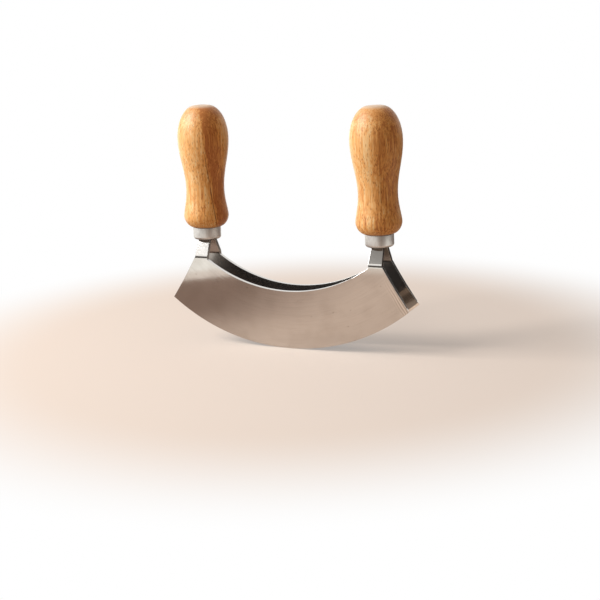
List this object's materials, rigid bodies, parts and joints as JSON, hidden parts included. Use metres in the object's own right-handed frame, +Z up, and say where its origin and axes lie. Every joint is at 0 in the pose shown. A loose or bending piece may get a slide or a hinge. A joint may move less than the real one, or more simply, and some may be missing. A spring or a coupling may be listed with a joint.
{
  "type": "mezzaluna",
  "caption": "Rocking herb chopper with parallel crescent steel blades whose necks bend together into metal ferrules under upright turned wooden handles.",
  "frame": {"origin": "middle of the tool at the lowest point of both cutting edges, where it stands on a board", "axes": "+X along the blades towards the right handle, +Y through the blades from the front one to the rear one, +Z up the handles"},
  "size_m": [0.15, 0.03, 0.1413],
  "materials": {
    "blade_steel": "satin brushed stainless steel with a brighter ground edge",
    "ferrule_metal": "drawn metal, fine matt",
    "handle_wood": "clear satin lacquer on straight-grained honey-brown wood with short dark pores",
    "tang_resin": "cured casting resin, matt"
  },
  "bodies": {
    "root": {"front_blade": "blade_steel", "rear_blade": "blade_steel", "left_ferrule": "ferrule_metal", "right_ferrule": "ferrule_metal", "left_handle": "handle_wood", "right_handle": "handle_wood", "left_tang_resin": "tang_resin", "right_tang_resin": "tang_resin"}
  },
  "joints": []
}
